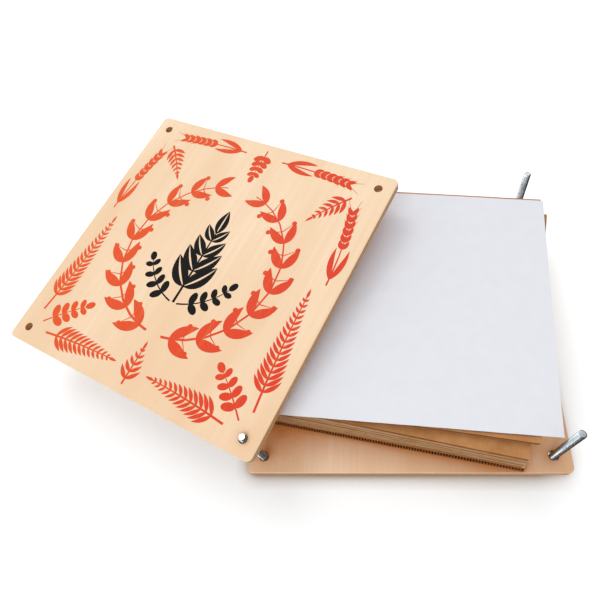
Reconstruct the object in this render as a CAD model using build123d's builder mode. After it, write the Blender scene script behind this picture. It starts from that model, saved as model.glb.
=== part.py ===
from build123d import *
import os

# A square flower press, opened: two plywood boards, four bolts with wing nuts, and a loose stack of
# corrugated cards and blotting sheets. Millimetres, +Z up, origin on the table under the base's middle.

# Boards
BOARD_SIDE = 210.0
BOARD_THICKNESS = 6.0
BOARD_CORNER_RADIUS = 4.0
BOARD_EDGE_ROUND = 0.6
HOLE_INSET = 11.0
BASE_HOLE_CLEARANCE = 1.8
LID_HOLE_CLEARANCE = 1.0

# Bolts, with low slotted heads let into the base's underside
BOLT_DIAMETER = 5.0
BOLT_LENGTH = 55.0
TIP_CHAMFER = 0.6
HEAD_BEARING = 1.6
HEAD_HEIGHT = 2.2
HEAD_EDGE_ROUND = 0.5
SLOT_WIDTH = 1.2
SLOT_DEPTH = 1.0
HEAD_SIDE_CLEARANCE = 0.5
HEAD_END_CLEARANCE = 0.4

# Wing nuts
THREAD_CLEARANCE = 0.08
HUB_HEIGHT = 6.0
HUB_FOOT_WALL = 2.5
HUB_TOP_WALL = 1.7
WING_THICKNESS = 2.4
WING_TIP_RADIUS = 3.4
WING_SPREAD = 1.5
WING_RISE = 2.3
WING_ROOT_RADIUS = 1.9
WING_ROOT_HEIGHT = 2.4
WING_EDGE_ROUND = 0.5
THREAD_ENGAGEMENT = 5.8
PARKED_NUT_GAP = 0.3
PARKED_NUT_TURN = 90.0
LOWERED_NUT_TURN = 30.0

# The lid's stance: turned about the front-left bolt, tipped up at its far edge, a little lower on its left
LID_TURN = -26.4
LID_LEFT_DROP = -1.45
LID_TILT = 6.0
LID_SEAT_GAP = 0.3
LID_DIAGONAL = -45.0

# Corrugated cards and blotting sheets
SHEET_CLEARANCE = 3.0
CARD_THICKNESS = 4.2
LINER_THICKNESS = 0.45
FLUTE_PITCH = 3.7
FLUTE_WALL = 0.5
FLUTE_CREST = 0.5
CARD_RIM = 1.0
BLOTTER_THICKNESS = 0.6
TOP_SHEET_TRIM = 7.0
TOP_SHEET_THICKNESS = 0.4

# Where each layer of the stack lies: middle across, middle to the back, turn in degrees
STACK = [
    (3.6, 1.4, -11.3),
    (3.0, 3.4, -11.6),
    (2.6, 3.4, -11.9),
    (3.1, 2.8, -11.7),
    (2.1, 3.1, -12.2),
    (2.4, 2.5, -12.0),
    (2.3, 3.4, -12.3),
    (1.9, 2.7, -12.1),
    (2.2, 2.9, -12.1),
    (1.6, 2.6, -12.4),
    (1.8, 3.2, -12.3),
    (1.9, 2.5, -12.2),
    (1.5, 3.4, -12.4),
    (1.5, 9.0, -9.3),
    (1.7, 7.4, -9.1),
]
TOP_SHEET = (11.2, 1.5, -5.5)

BOLT_REACH = BOARD_SIDE / 2 - HOLE_INSET
CORNERS = {
    "front_left": (-BOLT_REACH, -BOLT_REACH),
    "front_right": (BOLT_REACH, -BOLT_REACH),
    "back_left": (-BOLT_REACH, BOLT_REACH),
    "back_right": (BOLT_REACH, BOLT_REACH),
}
BASE_HOLE_DIAMETER = BOLT_DIAMETER + BASE_HOLE_CLEARANCE
LID_HOLE_DIAMETER = BOLT_DIAMETER + LID_HOLE_CLEARANCE
HEAD_DIAMETER = BASE_HOLE_DIAMETER + 2 * HEAD_BEARING
HEAD_RECESS_DEPTH = HEAD_HEIGHT + HEAD_END_CLEARANCE
BOLT_TIP_Z = HEAD_RECESS_DEPTH + BOLT_LENGTH
HUB_FOOT_DIAMETER = BOLT_DIAMETER + 2 * HUB_FOOT_WALL
HUB_TOP_DIAMETER = BOLT_DIAMETER + 2 * HUB_TOP_WALL
WING_ROOT_REACH = BOLT_DIAMETER / 2 + HUB_TOP_WALL - WING_ROOT_RADIUS / 2
WING_TIP_REACH = BOLT_DIAMETER / 2 + WING_SPREAD + WING_TIP_RADIUS
WING_TIP_HEIGHT = HUB_HEIGHT + WING_RISE
NUT_HEIGHT = WING_TIP_HEIGHT + WING_TIP_RADIUS
WING_REACH = WING_TIP_REACH + WING_TIP_RADIUS
SHEET_SIDE = 2 * BOLT_REACH - BOLT_DIAMETER - SHEET_CLEARANCE

os.makedirs("parts", exist_ok=True)


def board(middle, hole_diameter):
    """A square board with rounded corners on a plane through its middle, drilled at its four corners."""
    with BuildPart(middle) as panel:
        with BuildSketch(middle.offset(-BOARD_THICKNESS / 2)):
            RectangleRounded(BOARD_SIDE, BOARD_SIDE, BOARD_CORNER_RADIUS)
        extrude(amount=BOARD_THICKNESS)
        broad_faces = panel.faces().sort_by(SortBy.AREA)[-2:]
        fillet(broad_faces.edges(), radius=BOARD_EDGE_ROUND)
        with BuildSketch(middle):
            with GridLocations(2 * BOLT_REACH, 2 * BOLT_REACH, 2, 2):
                Circle(hole_diameter / 2)
        extrude(amount=BOARD_THICKNESS, both=True, mode=Mode.SUBTRACT)
    return panel.part


def sheet(side, thickness):
    """A plain square sheet of paper, lying on the XY plane."""
    with BuildPart() as leaf:
        with BuildSketch():
            Rectangle(side, side)
        extrude(amount=thickness)
    return leaf.part


def keep(solid, name, plane=Plane.XY):
    """Sets a finished piece on its plane, labels it and writes it."""
    with BuildPart() as piece:
        with Locations(plane.location):
            add(solid)
    piece.part.label = name
    export_step(piece.part, f"parts/{name}.step")


def over(corner, height, turn=0.0):
    """The level plane on a bolt's axis at a height, turned about it."""
    return Plane((*CORNERS[corner], height)).rotated((0, 0, turn))


def lying(place, height, flute_turn=0.0):
    """The level plane under one layer of the stack."""
    across, back, turn = place
    return Plane((across, back, height)).rotated((0, 0, turn + flute_turn))


# Bolt, on its seat under the base's web: a low slotted head below, a plain shank and a chamfered tip above
with BuildPart() as bolt:
    with BuildSketch():
        Circle(BOLT_DIAMETER / 2)
    extrude(amount=BOLT_LENGTH)
    chamfer(bolt.edges().group_by(Axis.Z)[-1], length=TIP_CHAMFER)
    with BuildSketch():
        Circle(HEAD_DIAMETER / 2)
    extrude(amount=-HEAD_HEIGHT)
    fillet(bolt.edges().group_by(Axis.Z)[0], radius=HEAD_EDGE_ROUND)
    with BuildSketch(Plane.XY.offset(-HEAD_HEIGHT)):
        Rectangle(HEAD_DIAMETER, SLOT_WIDTH)
    extrude(amount=SLOT_DEPTH, mode=Mode.SUBTRACT)

# Wing nut, standing on its foot: two rounded wings, a tapered hub and a threaded bore
with BuildPart() as wing_nut:
    for side in (-1, 1):
        with BuildSketch(Plane.XZ):
            with Locations((side * WING_TIP_REACH, WING_TIP_HEIGHT)):
                Circle(WING_TIP_RADIUS)
            with Locations((side * WING_ROOT_REACH, WING_ROOT_HEIGHT)):
                Circle(WING_ROOT_RADIUS)
            make_hull()
        extrude(amount=WING_THICKNESS / 2, both=True)
    fillet(wing_nut.faces().filter_by(Axis.Y).edges(), radius=WING_EDGE_ROUND)
    with BuildSketch(Plane.XY):
        Circle(HUB_FOOT_DIAMETER / 2)
    with BuildSketch(Plane.XY.offset(HUB_HEIGHT)):
        Circle(HUB_TOP_DIAMETER / 2)
    loft()
    with BuildSketch(Plane.XY):
        Circle(BOLT_DIAMETER / 2 + THREAD_CLEARANCE)
    extrude(amount=NUT_HEIGHT, mode=Mode.SUBTRACT)

# Corrugated card, lying flat: two liners with a zigzag medium between them, its tunnels open front and back
with BuildPart() as card:
    narrow = FLUTE_CREST / 2
    wide = FLUTE_PITCH / 2 - FLUTE_WALL - narrow
    low = LINER_THICKNESS
    high = CARD_THICKNESS - LINER_THICKNESS
    tunnels = int((SHEET_SIDE - 2 * CARD_RIM - 2 * wide) / FLUTE_PITCH)
    with BuildSketch(Plane.XZ):
        with Locations((0, CARD_THICKNESS / 2)):
            Rectangle(SHEET_SIDE, CARD_THICKNESS)
        with GridLocations(FLUTE_PITCH, 0, tunnels, 1):
            widest_below = [(-wide, low), (wide, low), (narrow, high), (-narrow, high)]
            Polygon(*widest_below, align=None, mode=Mode.SUBTRACT)
        with GridLocations(FLUTE_PITCH, 0, tunnels + 1, 1):
            widest_above = [(-narrow, low), (narrow, low), (wide, high), (-wide, high)]
            Polygon(*widest_above, align=None, mode=Mode.SUBTRACT)
    extrude(amount=SHEET_SIDE / 2, both=True)

# Base board: the heads' recesses are cut from below
with BuildPart() as base_board:
    add(board(Plane.XY.offset(BOARD_THICKNESS / 2), BASE_HOLE_DIAMETER))
    with BuildSketch(Plane.XY):
        with Locations(*CORNERS.values()):
            Circle(HEAD_DIAMETER / 2 + HEAD_SIDE_CLEARANCE)
    extrude(amount=HEAD_RECESS_DEPTH, mode=Mode.SUBTRACT)
keep(base_board.part, "base_board")

for corner in CORNERS:
    keep(bolt.part, f"bolt_{corner}", over(corner, HEAD_RECESS_DEPTH))

# The lid's near-right hole is on the front-left bolt, and its underside rests on the wings of a nut that is
# just started on the back-left bolt, so its height follows from that nut
level = over("front_left", 0)
lid_stance = level.rotated((LID_TILT, 0, 0)).rotated((0, LID_LEFT_DROP, 0)).rotated((0, 0, LID_TURN))
up = lid_stance.z_dir
rise_to_back = -up.Y / up.Z
steepest_rise = (1 - up.Z**2) ** 0.5 / up.Z
propping_nut_z = BOLT_TIP_Z - THREAD_ENGAGEMENT
underside_at_back_left = propping_nut_z + NUT_HEIGHT + LID_SEAT_GAP + WING_REACH * abs(lid_stance.x_dir.Z)
underside_at_front_left = underside_at_back_left - rise_to_back * 2 * BOLT_REACH
hole_middle_z = underside_at_front_left + BOARD_THICKNESS / 2 / up.Z
lid_hole = Plane(over("front_left", hole_middle_z).origin, x_dir=lid_stance.x_dir, z_dir=up)
lid_middle = lid_hole.shift_origin(lid_hole.from_local_coords(Vector(-BOLT_REACH, BOLT_REACH, 0)))
keep(board(lid_middle, LID_HOLE_DIAMETER), "lid_board")

# Wing nuts: two parked on the back-left bolt, one under the lid on the front-left bolt, one run down on the
# back-right bolt
parked_nut_z = propping_nut_z - NUT_HEIGHT - PARKED_NUT_GAP
front_left_nut_z = underside_at_front_left - NUT_HEIGHT - LID_SEAT_GAP - WING_REACH * steepest_rise
keep(wing_nut.part, "wing_nut_back_left_upper", over("back_left", propping_nut_z, LID_TURN))
keep(wing_nut.part, "wing_nut_back_left_lower", over("back_left", parked_nut_z, LID_TURN + PARKED_NUT_TURN))
keep(wing_nut.part, "wing_nut_front_left", over("front_left", front_left_nut_z, LID_TURN + LID_DIAGONAL))
keep(wing_nut.part, "wing_nut_back_right", over("back_right", BOARD_THICKNESS, LOWERED_NUT_TURN))

# The stack, from the base up: cards and blotting sheets by turns, then the white sheet on top. Only the
# lowest card has its tunnels running front to back
blotter = sheet(SHEET_SIDE, BLOTTER_THICKNESS)
layer_z = BOARD_THICKNESS
for index, place in enumerate(STACK):
    number = index // 2 + 1
    if index % 2 == 0:
        flute_turn = 0 if index == 0 else 90
        keep(card.part, f"corrugated_card_{number}", lying(place, layer_z, flute_turn))
        layer_z += CARD_THICKNESS
    else:
        keep(blotter, f"blotting_sheet_{number}", lying(place, layer_z))
        layer_z += BLOTTER_THICKNESS
keep(sheet(SHEET_SIDE - TOP_SHEET_TRIM, TOP_SHEET_THICKNESS), "top_sheet", lying(TOP_SHEET, layer_z))

print("lid up", tuple(up), "hole middle", hole_middle_z, "underside at front-left", underside_at_front_left)
print("bolt tip", BOLT_TIP_Z, "nut feet", propping_nut_z, parked_nut_z, front_left_nut_z)
print("top sheet lies at", layer_z)
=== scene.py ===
# %% [markdown]
# # A flower press, opened
# The press is two birch plywood boards, four zinc bolts with wing nuts, and a loose stack of
# corrugated cards and paper. The solids of every piece are loaded first and never moved. What they
# lack is added here: thread on the bolts, rounded flutes in the cards, soft paper edges, a printed
# lid and the finish of every surface.

# %% Load the solids
from math import radians

import bpy
import numpy as np
from mathutils import Matrix, Vector


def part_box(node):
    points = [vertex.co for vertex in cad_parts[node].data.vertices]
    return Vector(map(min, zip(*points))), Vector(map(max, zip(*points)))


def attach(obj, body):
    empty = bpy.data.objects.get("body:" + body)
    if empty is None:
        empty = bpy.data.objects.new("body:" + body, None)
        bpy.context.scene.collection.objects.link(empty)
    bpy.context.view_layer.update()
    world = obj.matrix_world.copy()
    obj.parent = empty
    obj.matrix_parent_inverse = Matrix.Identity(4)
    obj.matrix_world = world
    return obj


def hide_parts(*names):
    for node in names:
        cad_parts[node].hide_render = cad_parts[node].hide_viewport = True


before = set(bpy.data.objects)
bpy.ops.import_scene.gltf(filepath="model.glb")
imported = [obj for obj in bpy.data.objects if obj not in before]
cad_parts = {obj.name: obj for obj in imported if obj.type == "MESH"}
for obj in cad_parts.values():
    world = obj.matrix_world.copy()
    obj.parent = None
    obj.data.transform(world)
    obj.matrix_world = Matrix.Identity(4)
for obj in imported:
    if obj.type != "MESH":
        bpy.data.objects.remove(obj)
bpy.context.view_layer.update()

MM = 0.001

# %% [markdown]
# ## Camera
# The picture was taken from above the front edge with a wide lens. The boards are equal squares, so
# their corners in the picture fix the lens, the place and the turn of the camera. The lens axis
# does not meet the middle of the picture, and the shift says by how much.

# %% Camera
IMAGE_PIXELS = 600
FOCAL_PIXELS = 467.73
AXIS_PIXEL = (336.0, 343.0)
SENSOR_WIDTH = 36.0
CAMERA_PLACE = (-7.092 * MM, -162.650 * MM, 317.276 * MM)
CAMERA_TURN = (26.1105, 6.6434, 1.2870)
NEAR_LIMIT = 10.0 * MM

camera = bpy.data.objects.new("camera", bpy.data.cameras.new("camera"))
camera.data.sensor_width = SENSOR_WIDTH
camera.data.lens = FOCAL_PIXELS / IMAGE_PIXELS * SENSOR_WIDTH
camera.data.shift_x = 0.5 - AXIS_PIXEL[0] / IMAGE_PIXELS
camera.data.shift_y = AXIS_PIXEL[1] / IMAGE_PIXELS - 0.5
camera.data.clip_start = NEAR_LIMIT
camera.location = CAMERA_PLACE
camera.rotation_euler = [radians(angle) for angle in CAMERA_TURN]
bpy.context.scene.collection.objects.link(camera)
bpy.context.scene.camera = camera
bpy.context.scene.view_settings.view_transform = "Standard"
print(f"lens {camera.data.lens:.2f} mm, shift {camera.data.shift_x:.3f} {camera.data.shift_y:.3f}")

# %% [markdown]
# ## Wiring nodes
# Every material is a small net of nodes. One helper adds a node, sets its options and fills its
# inputs: a socket is linked and a plain value is written on the socket itself. The others wrap the
# nodes that come up again and again. Colours are picked on screen as 0 to 255, and the shaders want
# linear light, so one helper converts them. A mix node keeps a set of sockets for each kind of
# data, so its colour sockets are found by number.

# %% Node helpers
MIX_SHARE, MIX_FIRST, MIX_SECOND, MIX_RESULT = 0, 6, 7, 2
CLEAR_SAMPLES = 8


def add_node(tree, kind, inputs=None, **options):
    """Adds one node. An input that is a socket is linked, and any other is set as a value."""
    node = tree.nodes.new(kind)
    for name, value in options.items():
        setattr(node, name, value)
    for name, value in (inputs or {}).items():
        if isinstance(value, bpy.types.NodeSocket):
            tree.links.new(value, node.inputs[name])
        else:
            node.inputs[name].default_value = value
    return node


def screen_colour(red, green, blue):
    """Linear colour of a screen colour: each share of 255, to the power that screens use."""
    share = np.array([red, green, blue]) / 255.0
    linear = np.where(share <= 0.04045, share / 12.92, ((share + 0.055) / 1.055) ** 2.4)
    return (*(float(value) for value in linear), 1.0)


def mix_colour(tree, share, first, second):
    """The colour socket of a mix between two colours."""
    inputs = {MIX_SHARE: share, MIX_FIRST: first, MIX_SECOND: second}
    return add_node(tree, "ShaderNodeMix", inputs, data_type="RGBA").outputs[MIX_RESULT]


def ramp(tree, value, low, high, to_low=0.0, to_high=1.0):
    """The socket of a value moved from one range to another, and held inside it."""
    inputs = {"Value": value, "From Min": low, "From Max": high, "To Min": to_low, "To Max": to_high}
    return add_node(tree, "ShaderNodeMapRange", inputs).outputs["Result"]


def maths(tree, operation, *values):
    """The socket of one operation on numbers."""
    inputs = dict(enumerate(values))
    return add_node(tree, "ShaderNodeMath", inputs, operation=operation).outputs[0]


def vector_maths(tree, operation, *values, output="Vector"):
    """The socket of one operation on vectors: its vector, or its value where the output says so."""
    inputs = dict(enumerate(values))
    return add_node(tree, "ShaderNodeVectorMath", inputs, operation=operation).outputs[output]


def stretched_noise(tree, place, stretch, detail, turn=0.0):
    """The factor of a stretched noise: a high number on an axis gives fine cells along it."""
    inputs = {"Vector": place, "Scale": stretch, "Rotation": (0, 0, radians(turn))}
    mapped = add_node(tree, "ShaderNodeMapping", inputs).outputs[0]
    inputs = {"Vector": mapped, "Scale": 1.0, "Detail": detail}
    return add_node(tree, "ShaderNodeTexNoise", inputs).outputs[0]


def new_group(name, outputs):
    """A node group with a place in and values out: its tree, its place and its output node."""
    tree = bpy.data.node_groups.new(name, "ShaderNodeTree")
    tree.interface.new_socket("Place", in_out="INPUT", socket_type="NodeSocketVector")
    for output in outputs:
        tree.interface.new_socket(output, in_out="OUTPUT", socket_type="NodeSocketFloat")
    return tree, tree.nodes.new("NodeGroupInput").outputs[0], tree.nodes.new("NodeGroupOutput")


def noise_group(name, noises):
    """A group of noises: each output has a stretch, a detail and the span that is moved to 0 to 1."""
    tree, place, out = new_group(name, noises)
    for output, (stretch, detail, span) in noises.items():
        noise = stretched_noise(tree, place, stretch, detail)
        tree.links.new(ramp(tree, noise, *span), out.inputs[output])
    print(f"{name}: {', '.join(noises)}")
    return tree


def use_group(tree, group, place):
    """Places a node group in a material and gives its outputs by name."""
    return add_node(tree, "ShaderNodeGroup", {"Place": place}, node_tree=group).outputs


def new_material(name):
    """An empty node material: its tree, its main shader and the piece's own coordinates."""
    material = bpy.data.materials.new(name)
    material.use_nodes = True
    tree = material.node_tree
    coordinates = add_node(tree, "ShaderNodeTexCoord").outputs["Object"]
    return material, tree, tree.nodes["Principled BSDF"], coordinates


def finish_solid(node, material):
    """Gives a loaded solid its one material."""
    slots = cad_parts[node].data.materials
    slots.clear()
    slots.append(material)


def in_own_axes(tree, place, middle, axes):
    """A place measured from a board's middle along the board's own axes."""
    turn = Matrix(axes.T.tolist()).to_euler()
    inputs = {"Vector": place, "Location": middle.tolist(), "Rotation": turn}
    return add_node(tree, "ShaderNodeMapping", inputs, vector_type="TEXTURE").outputs[0]


def bump(tree, shader, height, strength, distance):
    """Lets a height tip the shader's normal, by at most a distance in metres."""
    inputs = {"Height": height, "Strength": strength, "Distance": distance}
    tree.links.new(add_node(tree, "ShaderNodeBump", inputs).outputs[0], shader.inputs["Normal"])


# Its result is used to paint shade into colours where a point is shut in.
def closed_in(tree, reach, shut, free):
    """How shut in a point is: 1 where its clear share within a reach is shut, 0 where it is free."""
    inputs = {"Distance": reach}
    node = add_node(tree, "ShaderNodeAmbientOcclusion", inputs, samples=CLEAR_SAMPLES)
    return ramp(tree, node.outputs["AO"], shut, free, 1.0, 0.0)


print("node helpers ready")

# %% [markdown]
# ## Studio
# The press stands on a white floor. A large soft lamp hangs behind it on the left, another in
# front, and an even white room is around it. Together they light a level surface at about strength
# 1, so colours come out as they are written. Each lamp has a place, a width and a power.
#
# The camera sees a floor that is paint with a little glow, which makes it white and keeps a faint
# shadow on it. Close to the front and left of the press a contact shadow is painted on it: the floor
# is darker there and glows less, as if little light got into that corner. Away from there the glow
# grows and paints out the press's shadow, and far away it glows fully, so that no horizon shows in a
# low view. Dark boards stand and lie in front and on the right, as a photographer would place them:
# only reflections see them, and they give the bolts their dark side.

# %% Room and lamps
WHITE = (1.0, 1.0, 1.0, 1.0)
ROOM_STRENGTH = 0.76
LAMP_AIM = Vector((-0.03, 0.0, 0.02))
LAMPS = {"key": ((-0.6, 0.8, 1.7), 1.0, 7.4), "fill": ((-0.45, -1.1, 1.1), 1.0, 6.2)}


def white_for_the_eye(tree, strength):
    """1 for rays that the camera, a mirror or glass sends, strength for the rest."""
    path = add_node(tree, "ShaderNodeLightPath").outputs
    seen = maths(tree, "MAXIMUM", path["Is Camera Ray"], path["Is Glossy Ray"])
    seen = maths(tree, "MAXIMUM", seen, path["Is Transmission Ray"])
    return ramp(tree, seen, 0.0, 1.0, strength, 1.0)


room = bpy.data.worlds.new("room")
room.use_nodes = True
bpy.context.scene.world = room
background = room.node_tree.nodes["Background"]
background.inputs["Color"].default_value = WHITE
strength = white_for_the_eye(room.node_tree, ROOM_STRENGTH)
room.node_tree.links.new(strength, background.inputs["Strength"])

for name, (spot, size, watts) in LAMPS.items():
    lamp = bpy.data.objects.new(f"lamp_{name}", bpy.data.lights.new(f"lamp_{name}", "AREA"))
    lamp.data.shape = "DISK"
    lamp.data.size = size
    lamp.data.energy = watts
    lamp.location = spot
    lamp.rotation_euler = (LAMP_AIM - lamp.location).to_track_quat("-Z", "Y").to_euler()
    bpy.context.scene.collection.objects.link(lamp)
print("studio:", len(LAMPS), "lamps, room at", ROOM_STRENGTH)

# %% Floor and dark boards
FLOOR_REACH = 3.0
FLOOR_DROP = 0.2 * MM
FLOOR_COLOUR = (0.86, 0.86, 0.86, 1.0)
FLOOR_SEEN = (0.828, 0.84, 0.846, 1.0)
FLOOR_ROUGHNESS = 0.9
FLOOR_GLOW = 0.18
# Colour of the painted contact shadow on the floor.
FLOOR_PAINTED_SHADOW = screen_colour(160, 142, 118)
CONTACT_SHADE = (11.0 * MM, 0.5, 1.0)
CONTACT_START, CONTACT_END = 0.165, 0.2
FADE_CENTRE = (-0.08, -0.08, 0.0)
FADE_START, FADE_END = 0.17, 0.5
FLAG_COLOUR = (0.02, 0.02, 0.02, 1.0)
LEVEL = np.array([(0, 0, 0), (1, 0, 0), (1, 1, 0), (0, 1, 0)], dtype=bool)
UPRIGHT = np.array([(0, 0, 0), (1, 1, 0), (1, 1, 1), (0, 0, 1)], dtype=bool)
FLAGS = {
    "flag_right": (UPRIGHT, (0.6, -1.2, 0.0), (0.6, 1.2, 1.3)),
    "flag_front": (UPRIGHT, (-0.45, -0.7, 0.0), (1.2, -0.7, 1.3)),
    "flag_low_right": (LEVEL, (0.112, -0.7, 0.001), (0.6, 0.35, 0.001)),
    "flag_low_front": (LEVEL, (-0.02, -0.7, 0.001), (0.112, -0.112, 0.001)),
}


def stage_board(name, lie, low, high):
    """A flat board of the studio, no part of the press. Each corner is low or high on each axis."""
    mesh = bpy.data.meshes.new(name)
    mesh.from_pydata(np.where(lie, high, low).tolist(), [], [(0, 1, 2, 3)])
    board = bpy.data.objects.new(name, mesh)
    bpy.context.scene.collection.objects.link(board)
    return board


floor_low = (-FLOOR_REACH, -FLOOR_REACH, -FLOOR_DROP)
floor_high = (FLOOR_REACH, FLOOR_REACH, -FLOOR_DROP)
floor = stage_board("floor", LEVEL, floor_low, floor_high)
flag_black, _, shader, _ = new_material("flag_black")
shader.inputs["Base Color"].default_value = FLAG_COLOUR
for name, board in FLAGS.items():
    flag = stage_board(name, *board)
    flag.visible_camera = flag.visible_diffuse = flag.visible_shadow = flag.visible_transmission = False
    flag.data.materials.append(flag_black)

floor_white, tree, shader, place = new_material("floor_white")
shader.inputs["Roughness"].default_value = FLOOR_ROUGHNESS
shader.inputs["Specular IOR Level"].default_value = 0.0
shader.inputs["Emission Color"].default_value = WHITE
seen = add_node(tree, "ShaderNodeLightPath").outputs["Is Camera Ray"]
away = vector_maths(tree, "DISTANCE", place, FADE_CENTRE, output="Value")
# Painted contact shadow: darker where the floor is shut in, near the front and left of the press.
corner = ramp(tree, away, CONTACT_START, CONTACT_END, closed_in(tree, *CONTACT_SHADE), 0.0)
shaded = mix_colour(tree, corner, FLOOR_SEEN, FLOOR_PAINTED_SHADOW)
tree.links.new(mix_colour(tree, seen, FLOOR_COLOUR, shaded), shader.inputs["Base Color"])
# Less glow under the painted contact shadow; more glow away from the front left, which paints out
# shadow there.
glow = ramp(tree, away, FADE_START, FADE_END, ramp(tree, corner, 0.0, 1.0, FLOOR_GLOW, 0.0), 1.0)
tree.links.new(ramp(tree, seen, 0.0, 1.0, 0.0, glow), shader.inputs["Emission Strength"])
floor.data.materials.append(floor_white)
print("floor and", len(FLAGS), "dark boards")

# %% [markdown]
# ## Shapes as grids
# Every new piece is a closed shell of points worked out with whole arrays. A slab is two grids of
# the same size, joined round their rims. A turned piece is rings of points round an axis with a
# pole at each end. Each face carries a mark that says whether it is a cut edge, because cut card
# and cut paper are paler than their faces.

# %% Shell helpers
SHARP_ANGLE = 38.0


def grid_faces(rows, columns):
    """Quads of a grid, anticlockwise when rows run right and columns away."""
    first = (np.arange(rows - 1)[:, None] * columns + np.arange(columns - 1)).ravel()
    return np.stack([first, first + columns, first + columns + 1, first + 1], axis=1)


def slab(top, bottom):
    """Two grids joined round their rims: a closed shell, whose rim faces are marked as cut edges."""
    rows, columns = top.shape[:2]
    index = np.arange(rows * columns).reshape(rows, columns)
    rim = np.concatenate([index[:-1, 0], index[-1, :-1], index[:0:-1, -1], index[0, :0:-1]])
    below = rim + index.size
    sides = np.stack([below, np.roll(below, -1), np.roll(rim, -1), rim], axis=1)
    broad = grid_faces(rows, columns)
    faces = np.concatenate([broad, broad[:, ::-1] + index.size, sides])
    edge_or_shade_mark = np.concatenate([np.zeros(2 * len(broad)), np.ones(len(sides))])
    return np.concatenate([top.reshape(-1, 3), bottom.reshape(-1, 3)]), faces.tolist(), edge_or_shade_mark


def turned(radii, heights):
    """Rings about the Z axis: ring i has radii[i] at heights[i], and each end closes on a pole."""
    rings, sides = radii.shape
    angle = 2 * np.pi * np.arange(sides) / sides
    rise = np.broadcast_to(heights[:, None], radii.shape)
    wall = np.stack([radii * np.cos(angle), radii * np.sin(angle), rise], axis=-1).reshape(-1, 3)
    poles = np.array([[0, 0, heights[0]], [0, 0, heights[-1]]])
    step = np.arange(sides)
    after = np.roll(step, -1)
    ring = np.arange(rings - 1)[:, None] * sides
    quads = np.stack([ring + step, ring + after, ring + sides + after, ring + sides + step], axis=-1)
    low_cap = np.stack([np.full(sides, wall.shape[0]), after, step], axis=1)
    last = (rings - 1) * sides
    high_cap = np.stack([np.full(sides, wall.shape[0] + 1), last + step, last + after], axis=1)
    faces = quads.reshape(-1, 4).tolist() + low_cap.tolist() + high_cap.tolist()
    return np.concatenate([wall, poles]), faces, np.zeros(len(faces))


def set_down(shell, middle, axes):
    """Moves a shell from a piece's own axes to its place."""
    return (shell[0] @ axes + middle, *shell[1:])


def make_piece(name, shells, material, body, replaced=()):
    """Joins shells into one object at the origin that rides on a body, in place of named solids."""
    starts = np.cumsum([0] + [len(points) for points, _, _ in shells])
    points = np.concatenate([points for points, _, _ in shells])
    faces = []
    for (_, some, _), start in zip(shells, starts):
        faces += [[corner + start for corner in face] for face in some]
    mesh = bpy.data.meshes.new(name)
    mesh.from_pydata(points.tolist(), [], faces, shade_flat=False)
    mesh.set_sharp_from_angle(angle=radians(SHARP_ANGLE))
    # Marks above zero are cut edges; marks below zero carry painted shade inside the flutes.
    edge_or_shade_mark = mesh.attributes.new("cut_edge_or_flute_shade", "FLOAT", "FACE")
    edge_or_shade_mark.data.foreach_set("value", np.concatenate([marks for _, _, marks in shells]).astype(np.float32))
    mesh.materials.append(material)
    piece = bpy.data.objects.new(name, mesh)
    bpy.context.scene.collection.objects.link(piece)
    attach(piece, body)
    if replaced:
        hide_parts(*replaced)
    print(f"{name}: {len(points)} points, {len(faces)} faces")


# %% [markdown]
# ## Where a flat piece lies
# A board, card or sheet can lie at any turn, and the lid leans too. Its own axes are read from its
# solid: up is the way its largest face looks, and across is the way its largest side wall looks. On
# a card the side walls along the flutes are whole and the others are full of holes, so across is
# also the way that crosses the flutes.

# %% Read a flat piece's axes
WALL_LEAN = 0.01
LARGE_WALL = 0.9


def flat_piece(node):
    """(middle, axes, half sizes) of a flat solid. The rows of axes are across, along and up."""
    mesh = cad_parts[node].data
    normals = np.empty(len(mesh.polygons) * 3)
    areas = np.empty(len(mesh.polygons))
    points = np.empty(len(mesh.vertices) * 3)
    mesh.polygons.foreach_get("normal", normals)
    mesh.polygons.foreach_get("area", areas)
    mesh.vertices.foreach_get("co", points)
    normals = normals.reshape(-1, 3)
    up = normals[np.argmax(areas)]
    up = up * np.sign(up[2])
    upright = np.abs(normals @ up) < WALL_LEAN
    walls = normals[upright & (areas > LARGE_WALL * areas[upright].max())]
    across = walls[np.argmax(walls[:, 0])]
    across = across - (across @ up) * up
    across = across / np.linalg.norm(across)
    axes = np.stack([across, np.cross(up, across), up])
    spread = points.reshape(-1, 3) @ axes.T
    low, high = spread.min(0), spread.max(0)
    return (low + high) / 2 @ axes, axes, (high - low) / 2


lid_board = flat_piece("lid_board")
base_board = flat_piece("base_board")
lid_middle, lid_axes, lid_half = lid_board
print("lid half sizes in mm:", np.round(lid_half / MM, 2), "leaning", np.round(lid_axes[2], 3))

# %% [markdown]
# ## Birch plywood
# A peeled birch face is pale and quiet: long soft streaks, short dark flecks and slow clouds of
# tone. Part of each board is deeper in tone. On the base this is painted shade, deeper on the left
# under the lid and on the right by the stack; on the lid it is only a little deeper towards the
# front. A thin board is glued from five sheets of wood, and its sawn edge shows them as bands with
# dark glue lines between. The grain is a node group, because the ink on the lid soaks into the
# same grain and needs the same streaks.
#
# Where a point is shut in by card or by the lid, a deep orange shade is painted into the wood's
# colour, for the light that is thrown to and fro between card and wood and turns warm. How shut in
# it is depends on the pieces around it when the picture is made, so that node stays in the material
# and is no part of the group.

# %% Grain group
GRAIN_NOISES = {
    "Streaks": ((330.0, 9.0, 330.0), 5.0, (0.3, 0.7)),
    "Flecks": ((2400.0, 170.0, 2400.0), 2.0, (0.62, 0.8)),
    "Clouds": ((26.0, 7.0, 26.0), 2.0, (0.3, 0.7)),
}

grain = noise_group("birch_grain", GRAIN_NOISES)

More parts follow.
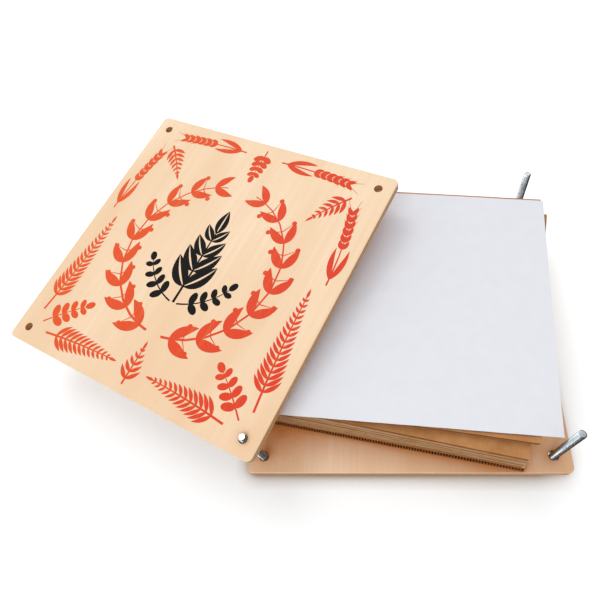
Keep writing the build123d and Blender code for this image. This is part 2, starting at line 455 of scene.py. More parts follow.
# %% Plywood material
PLY_COUNT = 5
STREAK_SHARE, FLECK_SHARE = 0.55, 0.35
# Painted shade on the base: deeper on the left under the lid and on the right by the stack. The lid is
# only a little deeper towards the front.
SIDE_TONE_AND_SHADE = screen_colour(196, 122, 50)
SIDE_TONE_STEPS = (-0.88, -0.46, 1.0)
# Painted shade: the wood turns deep orange where it is shut in, near at hand and further off.
WOOD_SHADE = screen_colour(200, 112, 20)
WOOD_SHADE_SHARE = 0.9
NEAR_SHADE = (9.0 * MM, 0.5, 0.95)
WIDE_SHADE = (60.0 * MM, 0.37, 0.57)
SAW_NOISE = ((900.0, 900.0, 120.0), 3.0)
SAW_MARKS = (0.35, 0.7, 0.0, 0.5)
GLUE = screen_colour(104, 62, 30)
GLUE_LINE = (0.4, 0.5, 0.0, 0.6)
CUT_FULL, CUT_NONE = 0.75 * MM, 0.35 * MM
WOOD_ROUGHNESS = (0.42, 0.58)
WOOD_SHINE = 0.35
WOOD_RELIEF = (0.25, 0.05 * MM)


def veneer_tone(tree, local, marks, half, pale, deep, fleck, side_tone_way, side_tone_shares):
    """A peeled face: clouds, streaks, flecks, deeper to one side, and painted warm shade where shut in.
    """
    tone = mix_colour(tree, marks["Clouds"], pale, deep)
    tone = mix_colour(tree, ramp(tree, marks["Streaks"], 0, 1, 0.0, STREAK_SHARE), tone, deep)
    tone = mix_colour(tree, ramp(tree, marks["Flecks"], 0, 1, 0.0, FLECK_SHARE), tone, fleck)
    # Deeper towards one side of the board: on the base this is painted shade.
    along = vector_maths(tree, "DOT_PRODUCT", local, side_tone_way, output="Value")
    first, second, third = half[0] * np.array(SIDE_TONE_STEPS)
    side_tone = ramp(tree, along, first, second, side_tone_shares[0], side_tone_shares[1])
    more = ramp(tree, along, second, third, 0.0, side_tone_shares[2] - side_tone_shares[1])
    tone = mix_colour(tree, maths(tree, "ADD", side_tone, more), tone, SIDE_TONE_AND_SHADE)
    # Painted warm shade where the point is shut in.
    shut = maths(tree, "MAXIMUM", closed_in(tree, *NEAR_SHADE), closed_in(tree, *WIDE_SHADE))
    return mix_colour(tree, ramp(tree, shut, 0.0, 1.0, 0.0, WOOD_SHADE_SHARE), tone, WOOD_SHADE)


def sawn_tone(tree, local, depth, half, pale, deep):
    """A sawn edge: plies pale and deep by turns, with saw marks, and dark glue where two meet."""
    ply = ramp(tree, depth, -half[2], half[2], 0.0, PLY_COUNT)
    odd = maths(tree, "FLOORED_MODULO", maths(tree, "FLOOR", ply), 2.0)
    from_middle = maths(tree, "SUBTRACT", maths(tree, "FRACT", ply), 0.5)
    glue = ramp(tree, maths(tree, "ABSOLUTE", from_middle), *GLUE_LINE)
    saw = ramp(tree, stretched_noise(tree, local, *SAW_NOISE), *SAW_MARKS)
    tone = mix_colour(tree, saw, mix_colour(tree, odd, pale, deep), deep)
    return mix_colour(tree, glue, tone, GLUE)


def birch(name, board, pale, deep, edge_pale, edge_deep, side_tone_way, side_tone_shares):
    """Plywood in a board's own axes: veneer on its two faces, plies and glue lines on what is cut."""
    middle, axes, half = board
    material, tree, shader, place = new_material(name)
    local = in_own_axes(tree, place, middle, axes)
    marks = use_group(tree, grain, local)
    veneer = veneer_tone(tree, local, marks, half, pale, deep, edge_pale, side_tone_way, side_tone_shares)
    depth = add_node(tree, "ShaderNodeSeparateXYZ", {0: local}).outputs["Z"]
    sawn = sawn_tone(tree, local, depth, half, edge_pale, edge_deep)
    height = maths(tree, "ABSOLUTE", depth)
    is_cut = ramp(tree, height, half[2] - CUT_FULL, half[2] - CUT_NONE, 1.0, 0.0)
    tree.links.new(mix_colour(tree, is_cut, veneer, sawn), shader.inputs["Base Color"])
    tree.links.new(ramp(tree, marks["Streaks"], 0, 1, *WOOD_ROUGHNESS), shader.inputs["Roughness"])
    shader.inputs["Specular IOR Level"].default_value = WOOD_SHINE
    bump(tree, shader, maths(tree, "SUBTRACT", marks["Streaks"], marks["Flecks"]), *WOOD_RELIEF)
    return material


lid_birch = birch(
    "lid_birch", lid_board,
    pale=screen_colour(245, 221, 190), deep=screen_colour(235, 202, 165),
    edge_pale=screen_colour(205, 160, 112), edge_deep=screen_colour(168, 120, 76),
    side_tone_way=(0.0, -1.0, 0.0), side_tone_shares=(0.0, 0.03, 0.1),
)
base_birch = birch(
    "base_birch", base_board,
    pale=screen_colour(250, 220, 190), deep=screen_colour(233, 192, 152),
    edge_pale=screen_colour(214, 166, 116), edge_deep=screen_colour(178, 126, 80),
    # The base's deeper sides are painted shade, under the lid and by the stack.
    side_tone_way=(1.0, 0.0, 0.0), side_tone_shares=(0.15, 0.06, 0.25),
)
finish_solid("lid_board", lid_birch)
finish_solid("base_board", base_birch)
print("boards: grain runs front to back, edges show", PLY_COUNT, "plies")

# %% [markdown]
# ## Zinc
# The bolts and nuts are steel with a bright zinc skin. The skin is a mirror dulled by a fine
# crystal frost and by finger marks, with a blue cast. A node group holds the frost and the smudges,
# because the bolts and the nuts share them at different strengths. A dark shade is painted in the
# grooves of a bolt's thread: the distance from the nearest bolt's axis says how deep a point lies in
# a groove.

# %% Zinc group and materials
# Colour of the painted shade in the thread's grooves.
GROOVE_SHADE = screen_colour(38, 44, 50)
GROOVE_SHADE_SHARE = 0.5
TIP_SHADED, TIP_UNSHADED = 1.0 * MM, 0.7 * MM
SMUDGE_SHARE = 0.8
FROST_RELIEF = (0.12, 0.02 * MM)
PLATING_NOISES = {
    "Frost": ((2600.0, 2600.0, 2600.0), 3.0, (0.3, 0.7)),
    "Smudge": ((190.0, 190.0, 90.0), 2.0, (0.35, 0.7)),
}

low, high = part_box("bolt_back_right")
BOLT_REACH = (low.x + high.x) / 2
BOLT_TIP = high.z

plating = noise_group("zinc_plating", PLATING_NOISES)


def from_bolt_axis(tree, place):
    """Distance from the axis of the nearest bolt: the length of (|x| - reach, |y| - reach, 0)."""
    even = vector_maths(tree, "ABSOLUTE", place)
    aside = vector_maths(tree, "SUBTRACT", even, (BOLT_REACH, BOLT_REACH, 0.0))
    level = vector_maths(tree, "MULTIPLY", aside, (1.0, 1.0, 0.0))
    return vector_maths(tree, "LENGTH", level, output="Value")


def zinc(name, bright, dull, smooth, rough, groove):
    """Bright zinc: its tint and gloss follow its frost and smudges, with painted shade in the groove.
    """
    material, tree, shader, place = new_material(name)
    marks = use_group(tree, plating, place)
    tint = mix_colour(tree, ramp(tree, marks["Smudge"], 0, 1, 0.0, SMUDGE_SHARE), bright, dull)
    # Painted shade in the thread's grooves, stopping short of the tip.
    in_groove = ramp(tree, from_bolt_axis(tree, place), *groove, GROOVE_SHADE_SHARE, 0.0)
    height = add_node(tree, "ShaderNodeSeparateXYZ", {0: place}).outputs["Z"]
    below_tip = ramp(tree, height, BOLT_TIP - TIP_SHADED, BOLT_TIP - TIP_UNSHADED, 1.0, 0.0)
    tint = mix_colour(tree, maths(tree, "MULTIPLY", in_groove, below_tip), tint, GROOVE_SHADE)
    tree.links.new(tint, shader.inputs["Base Color"])
    shader.inputs["Metallic"].default_value = 1.0
    tree.links.new(ramp(tree, marks["Smudge"], 0, 1, smooth, rough), shader.inputs["Roughness"])
    bump(tree, shader, marks["Frost"], *FROST_RELIEF)
    return material


zinc_bolt = zinc(
    "zinc_bolt", bright=screen_colour(232, 239, 244), dull=screen_colour(176, 188, 198),
    smooth=0.14, rough=0.3, groove=(2.12 * MM, 2.42 * MM),
)
zinc_nut = zinc(
    "zinc_nut", bright=screen_colour(206, 212, 218), dull=screen_colour(150, 158, 166),
    smooth=0.26, rough=0.46, groove=(2.5 * MM, 2.7 * MM),
)
nuts = [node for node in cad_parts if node.startswith("wing_nut")]
for node in nuts:
    finish_solid(node, zinc_nut)
print("zinc on", nuts)

# %% [markdown]
# ## Bolts
# A bolt's thread is a wave in its radius that climbs one pitch in each turn. A grid of rings gives
# it directly: the wave depends on the height less the angle's share of a pitch. Its profile is the
# standard one: an eighth of the pitch is crest, a quarter is root, and the flanks between are
# steep. At the tip a chamfer trims the radius. The low head below is two discs of rows with a slot:
# the rows run along the slot, so its walls are straight.

# %% Threaded bolts
SHANK_RADIUS = 2.5 * MM
THREAD_PITCH = 0.8 * MM
THREAD_DEPTH = 0.5413 * THREAD_PITCH
THREAD_CREST, THREAD_ROOT = 1 / 8, 1 / 4
THREAD_RUN_OUT = 1.6 * MM
TIP_CHAMFER = 0.7 * MM
HEAD_HEIGHT = 2.2 * MM
HEAD_EDGE = 0.5 * MM
SLOT_WIDTH = 1.2 * MM
SLOT_DEPTH = 1.0 * MM
SHANK_SIDES = 36
RINGS_PER_PITCH = 16
HEAD_ROWS, HEAD_COLUMNS = 14, 25
FIRST_ROW = 0.02


def threaded_shank(length):
    """Radius = shank - depth * groove: a clipped wave of height / pitch - angle / full turn."""
    heights = np.linspace(0.0, length, int(length / THREAD_PITCH * RINGS_PER_PITCH))
    turn = np.arange(SHANK_SIDES) / SHANK_SIDES
    phase = (heights[:, None] / THREAD_PITCH - turn) % 1.0
    flank = (1 - THREAD_CREST - THREAD_ROOT) / 2
    groove = np.clip(((1 - THREAD_CREST) / 2 - np.abs(phase - 0.5)) / flank, 0.0, 1.0)
    run_out = np.clip((heights - THREAD_RUN_OUT) / THREAD_RUN_OUT, 0.0, 1.0)[:, None]
    radii = SHANK_RADIUS - THREAD_DEPTH * groove * run_out
    trimmed = SHANK_RADIUS - TIP_CHAMFER + (length - heights)[:, None]
    return turned(np.minimum(radii, trimmed), heights)


def slotted_head(radius):
    """Rows of constant y across a disc. The underside rises round its edge and steps up in the slot."""
    half_slot = SLOT_WIDTH / 2
    outer = radius * np.cos(np.linspace(FIRST_ROW, 1.0, HEAD_ROWS) * np.arccos(half_slot / radius))
    rows = np.concatenate([-outer, [-half_slot, half_slot], outer[::-1]])
    in_slot = np.zeros(len(rows))
    in_slot[len(outer):len(outer) + 2] = 1.0
    share = np.linspace(-1.0, 1.0, HEAD_COLUMNS)
    across = share * np.sqrt(radius**2 - rows**2)[:, None]
    rows = np.broadcast_to(rows[:, None], across.shape)
    past = np.clip(np.hypot(across, rows) - (radius - HEAD_EDGE), 0.0, HEAD_EDGE)
    lift = HEAD_EDGE - np.sqrt(HEAD_EDGE**2 - past**2)
    under = np.maximum(lift, SLOT_DEPTH * in_slot[:, None])
    top = np.stack([across, rows, np.full_like(across, HEAD_HEIGHT)], axis=-1)
    bottom = np.stack([across, rows, under], axis=-1)
    return slab(top.transpose(1, 0, 2), bottom.transpose(1, 0, 2))


for corner in ("front_left", "front_right", "back_left", "back_right"):
    node = f"bolt_{corner}"
    low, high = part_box(node)
    foot = np.array([(low.x + high.x) / 2, (low.y + high.y) / 2, low.z])
    seat = foot + (0, 0, HEAD_HEIGHT)
    shank, head = threaded_shank(high.z - seat[2]), slotted_head((high.x - low.x) / 2)
    shells = [(shank[0] + seat, *shank[1:]), (head[0] + foot, *head[1:])]
    make_piece(f"threaded_bolt_{corner}", shells, zinc_bolt, node, [node])

# %% [markdown]
# ## Paper and card
# Kraft card and blotting paper are felted fibres. Close up, fibres lie every way as fine pale and
# dark hairs; from a step away the sheet is mottled. One group gives both, from two noises stretched
# in crossed directions. Cut edges are paler, since the knife opens the fibres, so the cut mark on
# each face picks the edge's colour. A mark below zero says that a face lies inside a flute, where a
# dark shade is painted. Where a sheet is shut in by what lies around it, a dark brown shade is
# painted too.

# %% Fibre group and materials
FIBRE_NOISE = ((2300.0, 260.0, 900.0), 2.0)
FIBRE_TURNS = (33.0, -41.0)
FIBRE_SPAN = (0.75, 1.25)
MOTTLE_NOISE = ((110.0, 110.0, 110.0), 5.0)
MOTTLE_SPAN = (0.3, 0.7)
EDGE_FIBRE_SHARE = 0.5
# Painted shade inside the flutes, and how it fades with the mark.
FLUTE_PAINTED_SHADE = screen_colour(116, 64, 28)
FLUTE_SHADE_FADE = (-0.9, -0.2, 0.8, 0.0)
# Painted shade: dark brown where a sheet is shut in, at a share set for each paper.
CARD_SHADE = screen_colour(112, 52, 20)
CARD_SHUT = (8.0 * MM, 0.15, 0.6)
PAPER_SHINE = 0.2
ROUGHER = 0.1
FIBRE_RELIEF = (0.2, 0.04 * MM)

fibres, place, out = new_group("paper_fibres", ("Fibre", "Mottle"))
hairs = [stretched_noise(fibres, place, *FIBRE_NOISE, turn) for turn in FIBRE_TURNS]
crossed = maths(fibres, "ADD", *hairs)
mottle = stretched_noise(fibres, place, *MOTTLE_NOISE)
fibres.links.new(ramp(fibres, crossed, *FIBRE_SPAN), out.inputs["Fibre"])
fibres.links.new(ramp(fibres, mottle, *MOTTLE_SPAN), out.inputs["Mottle"])


def felted(name, pale, deep, edge, fibre_share, roughness, shade_share):
    """A felted sheet: mottled, fibred, another tone on cut edges, painted shade in flutes and where
    shut in.
    """
    material, tree, shader, place = new_material(name)
    marks = use_group(tree, fibres, place)
    face = mix_colour(tree, marks["Mottle"], pale, deep)
    face = mix_colour(tree, ramp(tree, marks["Fibre"], 0, 1, 0.0, fibre_share), face, deep)
    edge_or_shade_mark = add_node(tree, "ShaderNodeAttribute", attribute_name="cut_edge_or_flute_shade").outputs["Fac"]
    ragged = mix_colour(tree, ramp(tree, marks["Fibre"], 0, 1, 0.0, EDGE_FIBRE_SHARE), edge, deep)
    # Painted shade inside the flutes.
    face = mix_colour(tree, ramp(tree, edge_or_shade_mark, *FLUTE_SHADE_FADE), face, FLUTE_PAINTED_SHADE)
    face = mix_colour(tree, ramp(tree, edge_or_shade_mark, 0, 1), face, ragged)
    # Painted shade where the sheet is shut in.
    shut = ramp(tree, closed_in(tree, *CARD_SHUT), 0.0, 1.0, 0.0, shade_share)
    tree.links.new(mix_colour(tree, shut, face, CARD_SHADE), shader.inputs["Base Color"])
    rough = ramp(tree, marks["Mottle"], 0, 1, roughness, roughness + ROUGHER)
    tree.links.new(rough, shader.inputs["Roughness"])
    shader.inputs["Specular IOR Level"].default_value = PAPER_SHINE
    bump(tree, shader, marks["Fibre"], *FIBRE_RELIEF)
    return material


kraft = felted(
    "kraft_card", pale=screen_colour(194, 141, 90), deep=screen_colour(172, 117, 69),
    edge=screen_colour(208, 146, 80), fibre_share=0.35, roughness=0.75, shade_share=0.8,
)
blotting = felted(
    "blotting_paper", pale=screen_colour(206, 186, 156), deep=screen_colour(184, 154, 116),
    edge=screen_colour(210, 162, 104), fibre_share=0.3, roughness=0.85, shade_share=0.5,
)
white_paper = felted(
    "white_paper", pale=screen_colour(226, 228, 234), deep=screen_colour(223, 225, 231),
    edge=screen_colour(236, 237, 241), fibre_share=0.2, roughness=0.7, shade_share=0.05,
)
print("papers:", kraft.name, blotting.name, white_paper.name)

# %% [markdown]
# ## Corrugated cards
# A corrugated card is a wavy paper between two flat ones. The wave is a sine across the flutes, and
# its own thickness is laid off along the wave's normal, so the walls keep their thickness where
# they slope. A knife never leaves a perfect line: a few sines of odd lengths draw each edge in by
# up to a fifth of a millimetre. Little light gets into the flutes, so their insides are marked for a
# painted dark shade. The lowest card has slid on the board more than the others, and at its flutes'
# ends the upper paper is worn back, so that the comb of flutes shows from above.

# %% Card and sheet shapes
FLUTE_PITCH = 1.85 * MM
LINER = 0.45 * MM
MEDIUM = 0.11 * MM
POINTS_PER_FLUTE = 12
POINTS_ALONG_FLUTE = 7
POINTS_PER_SIDE = 46
NEXT_EDGES = 3
EDGE_WANDER = 0.2 * MM
WANDER_WAVES = ((3.1 * MM, 1.7), (11.7 * MM, 2.3), (41.0 * MM, 0.9))
WORN_BACK = np.array([0.0, 1.4, 0.0]) * MM


def wander(along, seed):
    """A smooth uneven line between 0 and 1: three sines of odd lengths, shifted by a seed."""
    waves = [np.sin(along / length + seed * shift) for length, shift in WANDER_WAVES]
    return (sum(waves) / len(waves) + 1.0) / 2.0


def cut_square(half, points, seed):
    """A grid over a square sheet. Each edge is drawn in a little by its own uneven line."""
    line = np.linspace(-1.0, 1.0, points)
    u, v = np.meshgrid(line, line, indexing="ij")
    x = u * (half[0] - EDGE_WANDER * wander(v * half[1], seed + (u > 0)))
    y = v * (half[1] - EDGE_WANDER * wander(u * half[0], seed + NEXT_EDGES + (v > 0)))
    return x, y


def flat_sheet(half, low, high, seed):
    """A flat closed sheet between two levels, with uneven cut edges."""
    x, y = cut_square(half, POINTS_PER_SIDE, seed)
    return slab(np.stack([x, y, np.full_like(x, high)], -1), np.stack([x, y, np.full_like(x, low)], -1))


def wavy_medium(half, low, high):
    """Height = middle + amplitude * sine of 2 pi x / pitch, thickened along the wave's normal.

    The faces' marks run from 0 on a crest to -1 in a trough, so that painted shade can darken the
    flutes inside.
    """
    reach = half - EDGE_WANDER
    count = int(2 * reach[0] / FLUTE_PITCH * POINTS_PER_FLUTE)
    over_flutes = np.linspace(-reach[0], reach[0], count)
    along_flutes = np.linspace(-reach[1], reach[1], POINTS_ALONG_FLUTE)
    x, y = np.meshgrid(over_flutes, along_flutes, indexing="ij")
    amplitude = (high - low - MEDIUM) / 2
    wave = 2 * np.pi / FLUTE_PITCH
    z = (low + high) / 2 + amplitude * np.sin(wave * x)
    slope = amplitude * wave * np.cos(wave * x)
    shift_x = -slope / np.hypot(1, slope) * MEDIUM / 2
    shift_z = MEDIUM / 2 / np.hypot(1, slope)
    over = np.stack([x + shift_x, y, z + shift_z], -1)
    under = np.stack([x - shift_x, y, z - shift_z], -1)
    points, faces, marks = slab(over, under)
    depth = (1 - np.sin(wave * (x[:-1, :-1] + x[1:, 1:]) / 2)).ravel() / 2
    marks[:2 * depth.size] = np.concatenate([-depth, np.full(depth.size, -1.0)])
    return points, faces, marks


# %% Lay the cards and the blotting sheets
CARD_COUNT = 8
LOWER_LINER_SEED, BLOTTING_SEED = 20, 40

for number in range(1, CARD_COUNT + 1):
    node = f"corrugated_card_{number}"
    middle, axes, half = flat_piece(node)
    inner = half[2] - LINER
    layers = [
        flat_sheet(half - WORN_BACK * (number == 1), inner, half[2], number),
        wavy_medium(half, -inner, inner),
        flat_sheet(half, -half[2], -inner, number + LOWER_LINER_SEED),
    ]
    shells = [set_down(layer, middle, axes) for layer in layers]
    make_piece(f"fluted_card_{number}", shells, kraft, node, [node])

for number in range(1, CARD_COUNT):
    node = f"blotting_sheet_{number}"
    middle, axes, half = flat_piece(node)
    shell = set_down(flat_sheet(half, -half[2], half[2], number + BLOTTING_SEED), middle, axes)
    make_piece(f"soft_sheet_{number}", [shell], blotting, node, [node])

# %% [markdown]
# ## White sheet
# The top sheet is thinner and crisper than the blotting paper, and it lies over the edge of the
# card below it. It is a slab like the others, with two slow swells and a curl at its near and far
# edges, because paper that has been under a press and out again never lies quite flat. It was cut
# by hand: its left side is a little longer than its right, so that its far edge runs along the
# card's.

# %% White sheet
SHEET_THICKNESS = 0.28 * MM
SHEET_POINTS = 60
SHEET_SEED = 71
SWELL = 0.15 * MM
SWELL_WAVES = ((2.1, 1.3), (-0.6, 1.7))
EDGE_CURL = 1.2 * MM
CURL_MIDDLE, CURL_LEAN, CURL_POWER = 0.7, 0.3, 6
LONGER_LEFT = 11.0 * MM


def white_sheet_shell(half):
    """Lift = curl * a power of v, more on the right, plus two crossed sines. The left is longer."""
    x, y = cut_square(half, SHEET_POINTS, SHEET_SEED)
    u, v = x / half[0], y / half[1]
    one_swell, other_swell = (np.sin(across * u + along * v) for across, along in SWELL_WAVES)
    swell = SWELL * (1 + one_swell * other_swell)
    lift = EDGE_CURL * (CURL_MIDDLE + CURL_LEAN * u) * v**CURL_POWER + swell
    under = -half[2] + lift
    y = y + LONGER_LEFT * (1 - u) / 2 * (1 + v) / 2
    return slab(np.stack([x, y, under + SHEET_THICKNESS], -1), np.stack([x, y, under], -1))


middle, axes, half = flat_piece("top_sheet")
sheet_shell = set_down(white_sheet_shell(half), middle, axes)
make_piece("white_sheet", [sheet_shell], white_paper, "top_sheet", ["top_sheet"])

# %% [markdown]
# ## Print on the lid
# The lid carries a two-colour print: a leafy wreath, ferns and ears of grass in orange, and a black
# sprig in the middle. Ink on wood is a film, so each mark is a very thin slab on the lid's face.
# Every stem, leaf and dot is one ribbon: a circular arc with a width that follows a profile, and a
# plant is a handful of ribbons. A ribbon is a hair thicker along its middle, so where two cross,
# one surface is always clearly above the other. Lengths here are in millimetres and angles in
# degrees.

# %% Ribbons of ink
INK_THICKNESS = 0.03 * MM
INK_CROWN = 0.03 * MM
INK_SINK = 0.01 * MM
STEM, LEAF, ROUND, LEFT_HALF, RIGHT_HALF = range(5)
VEIN = 0.13
SIDES = np.array([(-1, 1), (-1, 1), (-1, 1), (-1, -VEIN), (VEIN, 1)])
STEPS_ALONG = 15
STEPS_ACROSS = np.array([1.0, 0.5, 0.0])
STEM_TAPER = 0.55
LEAF_LEAN, LEAF_ROUND = 0.8, 0.9
LEAST_WIDTH = 0.08
LEAST_CURL = 0.01


def along_arc(x, y, heading, length, curl, share):
    """Point and heading at a share of an arc whose heading turns evenly by curl."""
    bend = np.radians(np.where(np.abs(curl) < LEAST_CURL, LEAST_CURL, curl))
    start = np.radians(heading)
    radius = length / bend
    now = start + bend * share
    across = x + radius * (np.sin(now) - np.sin(start))
    away = y - radius * (np.cos(now) - np.cos(start))
    return across, away, np.degrees(now)


def ribbon(x, y, heading, length, curl, width, profile):
    """Ribbons as rows of seven numbers, each spread to the same count."""
    columns = np.broadcast_arrays(x, y, heading, length, curl, width, profile)
    return np.stack(columns, axis=-1).reshape(-1, 7)


def split_leaf(x, y, heading, length, curl, width):
    """A leaf as two ribbons, one for each half, with bare wood left between them as its vein."""
    halves = [ribbon(x, y, heading, length, curl, width, half) for half in (LEFT_HALF, RIGHT_HALF)]
    return np.concatenate(halves)


def mirrored(plant):
    """Ribbons and their mirror images: x changes sign, headings and curls turn the other way."""
    x, y, heading, length, curl, width, profile = plant.T
    return np.concatenate([plant, ribbon(-x, y, 180.0 - heading, length, -curl, width, profile)])


def ink_shells(plants):
    """Slabs of width * profile: a taper for stems, a sine for leaves, a half circle for dots."""
    rows = np.concatenate(plants)
    kind = rows[:, 6].astype(int)
    share = (1 - np.cos(np.linspace(0.0, np.pi, STEPS_ALONG))) / 2
    stem = 1.0 - STEM_TAPER * share
    leaf = np.sin(np.pi * share**LEAF_LEAN) ** LEAF_ROUND
    dot = 2 * np.sqrt(share * (1 - share))
    shapes = np.stack([stem, leaf, dot, leaf, leaf])
    x, y, heading = along_arc(*rows[:, :5].T[..., None], share)
    half = np.maximum(rows[:, 5:6] * shapes[kind], LEAST_WIDTH) / 2
    start, end = SIDES[kind].T[..., None]
    aside = (start + (end - start) * STEPS_ACROSS)[:, None] * half[..., None]
    px = x[..., None] + aside * np.sin(np.radians(heading))[..., None]
    py = y[..., None] - aside * np.cos(np.radians(heading))[..., None]
    crown = INK_CROWN * (1 - (2 * STEPS_ACROSS - 1) ** 2)
    level = np.broadcast_to(lid_half[2] + INK_THICKNESS + crown, px.shape)
    top = np.stack([px * MM, py * MM, level], -1)
    bottom = np.stack([px * MM, py * MM, np.full_like(px, lid_half[2] - INK_SINK)], -1)
    return [set_down(slab(t, b), lid_middle, lid_axes) for t, b in zip(top, bottom)]


print("ribbon profiles:", len(SIDES))

# %% [markdown]
# ## Plants
# A fern is a stem with leaflets that shorten to its tip. An ear of grass has plump grains in pairs,
# some with a hair. A sprig has round leaves in pairs. The wreath is two stems that bend up from the
# bottom and nearly meet, with long leaves and stalked berries.

# %% Plants from ribbons
LEAFLET_SPACING = 5.0
FERN_SPAN, EAR_SPAN, SPRIG_SPAN, WREATH_SPAN = (0.16, 0.94), (0.5, 0.98), (0.25, 0.88), (0.04, 0.94)
EAR_PAIRS, SPRIG_PAIRS, WREATH_PAIRS = 6, 4, 9
FIRST_HAIR = 2
BLADE_FOOT, BLADE_SHARE = 0.08, 0.44
WREATH_START, WREATH_END = -84.0, 78.0
BERRY = 3.6


def leaf_pairs(stem, shares, angle, length, width, profile, curl=0.0):
    """A leaf on each side of a stem at each share of it, turned out by an angle."""
    x, y, heading = along_arc(*stem, shares)
    both = [ribbon(x, y, heading + s * angle, length, -s * curl, width, profile) for s in (-1, 1)]
    return np.concatenate(both)


def fern(x, y, heading, length, curl, reach):
    """A stem, leaflets in pairs that shorten by a power of what is left, and one at the tip."""
    stem = (x, y, heading, length, curl)
    shares = np.linspace(*FERN_SPAN, int(length / LEAFLET_SPACING))
    lengths, widths = reach * (1.06 - shares) ** 0.7, 1.5 + 1.9 * (1 - shares)
    pairs = leaf_pairs(stem, shares, angle=60.0, length=lengths, width=widths, profile=LEAF, curl=30.0)
    tip = ribbon(*along_arc(*stem, 0.97), length=7.0, curl=0.0, width=2.0, profile=LEAF)
    return np.concatenate([ribbon(*stem, 1.6, STEM), pairs, tip])


def ear(x, y, heading, length, curl):
    """A thin stem, pairs of grains over its upper half, hairs beside most, and two blades below."""
    stem = (x, y, heading, length, curl)
    shares = np.linspace(*EAR_SPAN, EAR_PAIRS)
    grains = leaf_pairs(stem, shares, angle=38.0, length=7.4, width=3.4, profile=LEAF, curl=24.0)
    hairs = leaf_pairs(stem, shares[FIRST_HAIR:], angle=21.0, length=13.0, width=0.5, profile=STEM)
    blade = length * BLADE_SHARE
    blades = leaf_pairs(stem, BLADE_FOOT, angle=26.0, length=blade, width=4.0, profile=LEAF, curl=30.0)
    return np.concatenate([ribbon(*stem, 1.2, STEM), grains, hairs, blades])


def sprig(x, y, heading, length, curl, size):
    """A stem with round leaves in pairs and one at its tip."""
    stem = (x, y, heading, length, curl)
    shares = np.linspace(*SPRIG_SPAN, SPRIG_PAIRS)
    lengths, widths = size * (1.15 - 0.5 * shares), size * (0.68 - 0.26 * shares)
    leaves = leaf_pairs(stem, shares, angle=62.0, length=lengths, width=widths, profile=ROUND)
    end = along_arc(*stem, 0.98)
    tip = ribbon(*end, length=size * 0.8, curl=0.0, width=size * 0.55, profile=ROUND)
    return np.concatenate([ribbon(*stem, 1.2, STEM), leaves, tip])


def wreath_half(radius):
    """A stem up the right half of a ring, with leaves in pairs and stalked berries between them."""
    start, end = radians(WREATH_START), radians(WREATH_END)
    foot = (radius * np.cos(start), radius * np.sin(start))
    stem = (*foot, WREATH_START + 90.0, radius * (end - start), np.degrees(end - start))
    shares = np.linspace(*WREATH_SPAN, WREATH_PAIRS)
    lengths, widths = 22.0 - 5.0 * shares, 7.6 - 1.6 * shares
    leaves = leaf_pairs(stem, shares, angle=47.0, length=lengths, width=widths, profile=LEAF, curl=34.0)
    between = (shares[1:] + shares[:-1]) / 2
    stalks = leaf_pairs(stem, between, angle=70.0, length=8.5, width=0.8, profile=STEM)
    ends = along_arc(*stalks[:, :5].T, 1.0)
    berries = ribbon(*ends, length=BERRY, curl=0.0, width=BERRY, profile=ROUND)
    return np.concatenate([ribbon(*stem, 1.8, STEM), leaves, stalks, berries])


print("plants ready")

# %% [markdown]
# ## Layout
# The wreath stands in the middle. Ferns and round-leaved sprigs spread from the near corners, ears
# of grass and small ferns from the far ones. What stands off the middle line is set out for the
# right half and mirrored. The black sprig has split leaves, so the wood shows as a vein in each. A
# plant's numbers are where its foot stands, right of the lid's middle and away from it, then its
# heading, length and curl, and last the size of its leaves.

# %% Set out the plants
right_half = [
    wreath_half(61.0),
    fern(92.0, -78.0, 97.0, 82.0, -6.0, 14.5),
    fern(78.0, -92.0, 173.0, 60.0, 6.0, 14.5),
    sprig(86.0, -86.0, 135.0, 34.0, 8.0, 9.5),
    ear(94.0, 14.0, 92.0, 56.0, 12.0),
    ear(16.0, 93.0, 2.0, 56.0, -8.0),
    fern(80.0, 81.0, 226.0, 30.0, 8.0, 12.0),
]
middle_line = [fern(0.0, -99.0, 90.0, 26.0, 0.0, 12.0), sprig(0.0, 99.0, -90.0, 24.0, 0.0, 8.0)]
orange_plants = [mirrored(np.concatenate(right_half)), *middle_line]

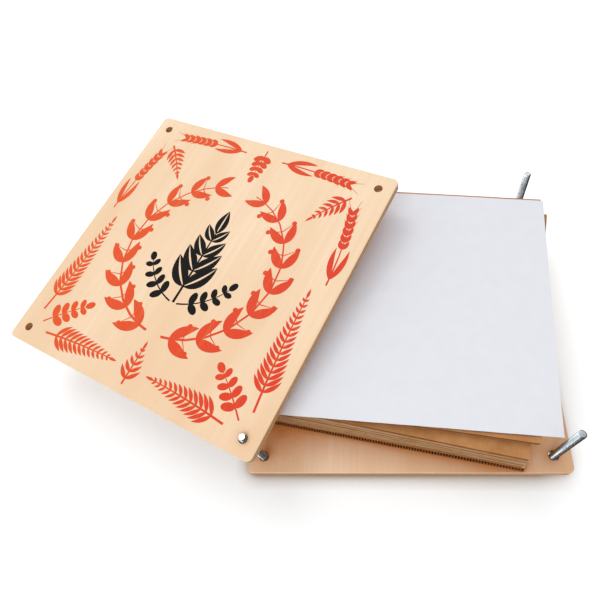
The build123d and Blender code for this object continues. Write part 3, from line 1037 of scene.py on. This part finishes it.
BLACK_LEAVES = 4
black_stem = (0.0, -36.0, 90.0, 60.0, 0.0)
x, y, heading = along_arc(*black_stem, np.linspace(0.22, 0.86, BLACK_LEAVES))
lengths, widths = np.linspace(27.0, 15.0, BLACK_LEAVES), np.linspace(12.5, 7.5, BLACK_LEAVES)
black_right = [
    split_leaf(x, y, heading - 50.0, lengths, 24.0, widths),
    sprig(3.0, -36.0, 14.0, 40.0, 46.0, 9.0),
]
black_tip = split_leaf(0.0, 22.0, 90.0, 20.0, 0.0, 9.0)
black_plants = [ribbon(*black_stem, 2.0, STEM), black_tip, mirrored(np.concatenate(black_right))]
print("ribbons:", sum(map(len, orange_plants)), "orange,", sum(map(len, black_plants)), "black")

# %% [markdown]
# ## Ink
# The ink is a thin matt film. It is a little redder on the right of the lid than on the left, and
# where the grain stands proud it is worn thin, so the streaks of the wood show through it.

# %% Orange and black ink
THIN_INK = (0.6, 1.0, 0.0, 0.3)
INK_ROUGHNESS = (0.42, 0.6)
INK_RELIEF = (0.15, 0.04 * MM)


def ink(name, left, right, worn, shine):
    """A film of ink: one tone on the left, another on the right, thin where the grain is proud."""
    material, tree, shader, place = new_material(name)
    local = in_own_axes(tree, place, lid_middle, lid_axes)
    marks = use_group(tree, grain, local)
    over = add_node(tree, "ShaderNodeSeparateXYZ", {0: local}).outputs["X"]
    tone = mix_colour(tree, ramp(tree, over, -lid_half[0], lid_half[0]), left, right)
    thin = ramp(tree, marks["Streaks"], *THIN_INK)
    tree.links.new(mix_colour(tree, thin, tone, worn), shader.inputs["Base Color"])
    tree.links.new(ramp(tree, marks["Streaks"], 0, 1, *INK_ROUGHNESS), shader.inputs["Roughness"])
    shader.inputs["Specular IOR Level"].default_value = shine
    bump(tree, shader, marks["Streaks"], *INK_RELIEF)
    return material


orange_ink = ink(
    "orange_ink", left=screen_colour(224, 86, 32), right=screen_colour(216, 58, 32),
    worn=screen_colour(232, 122, 76), shine=0.2,
)
black_ink = ink(
    "black_ink", left=screen_colour(16, 15, 15), right=screen_colour(18, 17, 17),
    worn=screen_colour(40, 36, 34), shine=0.08,
)
make_piece("lid_print_orange", ink_shells(orange_plants), orange_ink, "lid")
make_piece("lid_print_black", ink_shells(black_plants), black_ink, "lid")
